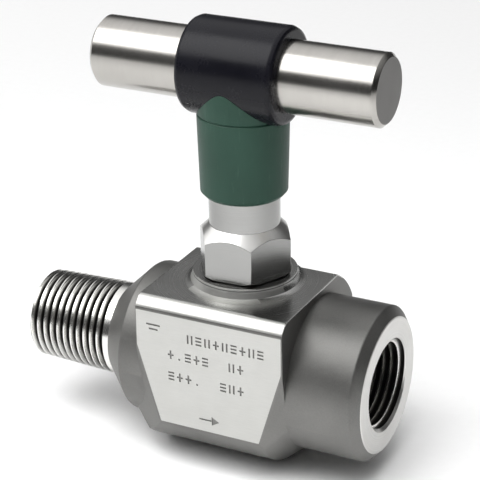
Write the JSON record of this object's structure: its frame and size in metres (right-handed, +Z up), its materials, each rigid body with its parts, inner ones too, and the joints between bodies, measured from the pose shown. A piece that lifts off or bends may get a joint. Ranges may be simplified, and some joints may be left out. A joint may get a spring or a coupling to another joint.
{
  "type": "needle valve",
  "caption": "Needle valve with male inlet, female outlet, flatted round body, hex bonnet, dust cap and tee-bar handle.",
  "frame": {"origin": "centre of the male inlet's end face, on the flow axis", "axes": "+X with the flow from inlet to outlet, +Z up the stem to the handle, -Y towards the marking flat"},
  "size_m": [0.0876, 0.0382, 0.1011],
  "materials": {
    "body_steel": "blasted and machined stainless steel",
    "bonnet_steel": "bright machined stainless steel",
    "bright_steel": "ground stainless steel",
    "bar_steel": "drawn and polished stainless bar",
    "clip_steel": "black oxide spring steel",
    "hub_black": "satin black coating",
    "cap_green": "moulded dark green plastic",
    "packing_ptfe": "white packing plastic",
    "seal_ring": "soft copper gasket",
    "wiper_rubber": "black rubber"
  },
  "bodies": {
    "body": {"valve_body": "body_steel", "bonnet": "bonnet_steel", "bonnet_seal": "seal_ring", "bonnet_lock_pin": "bright_steel", "packing_washer": "bright_steel", "packing_ring_lower": "packing_ptfe", "packing_ring_middle": "packing_ptfe", "packing_ring_upper": "packing_ptfe", "gland_follower": "bright_steel", "gland_screw": "bonnet_steel", "gland_lock_nut": "bonnet_steel", "stem_wiper": "wiper_rubber"},
    "needle": {"needle_tip": "bright_steel", "tip_ball": "bright_steel", "tip_retaining_ring": "bright_steel"},
    "handle": {"stem": "bright_steel", "stem_circlip": "clip_steel", "dust_cap": "cap_green", "handle_hub": "hub_black", "handle_bar": "bar_steel", "hub_set_screw": "clip_steel"}
  },
  "joints": [
    {"name": "stem_rise", "type": "slide", "parent": "body", "child": "needle", "axis": [0, 0, 1], "range_m": [0, 0.005]},
    {"name": "handle_turn", "type": "hinge", "parent": "needle", "child": "handle", "pos_m": [0.0527, 0, 0.06846], "axis": [0, 0, 1], "range_deg": [0, 1440]}
  ],
  "couplings": [
    {"joint": "stem_rise", "follows": "handle_turn", "m_per_rad": 0.00019894}
  ]
}
